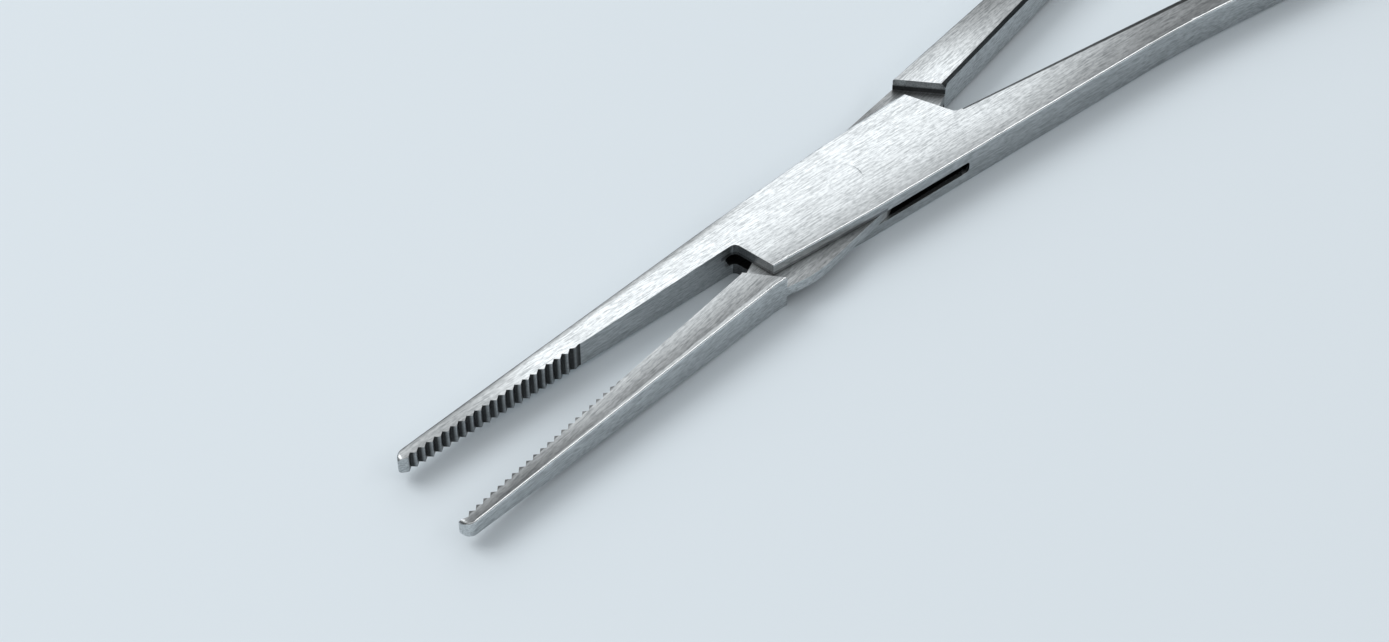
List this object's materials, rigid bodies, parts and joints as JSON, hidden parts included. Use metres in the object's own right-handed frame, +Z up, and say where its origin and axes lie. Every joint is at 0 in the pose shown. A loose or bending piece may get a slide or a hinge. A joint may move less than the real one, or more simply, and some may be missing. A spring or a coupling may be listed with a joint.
{
  "type": "hemostat forceps",
  "caption": "Straight hemostat forceps with a box lock, serrated jaws, a tooth ratchet and finger rings.",
  "frame": {"origin": "the pivot axis, on the plane of the box lock's underside", "axes": "+X from the pivot to the jaw tips, on the line that halves the opening; +Y to the side of the tenon half's jaw; +Z up along the pivot axis"},
  "size_m": [0.1385, 0.074, 0.0043],
  "materials": {
    "satin_steel": "satin, with a fine brushed grain along the instrument",
    "pin_steel": "ground flush and brushed with the box"
  },
  "bodies": {
    "box_half": {"box_half": "satin_steel", "pivot_pin": "pin_steel"},
    "tenon_half": {"tenon_half": "satin_steel"}
  },
  "joints": [
    {"name": "box_lock", "type": "hinge", "parent": "box_half", "child": "tenon_half", "pos_m": [0, 0, 0.00215], "axis": [0, 0, 1], "range_deg": [-9.52, 60]}
  ]
}
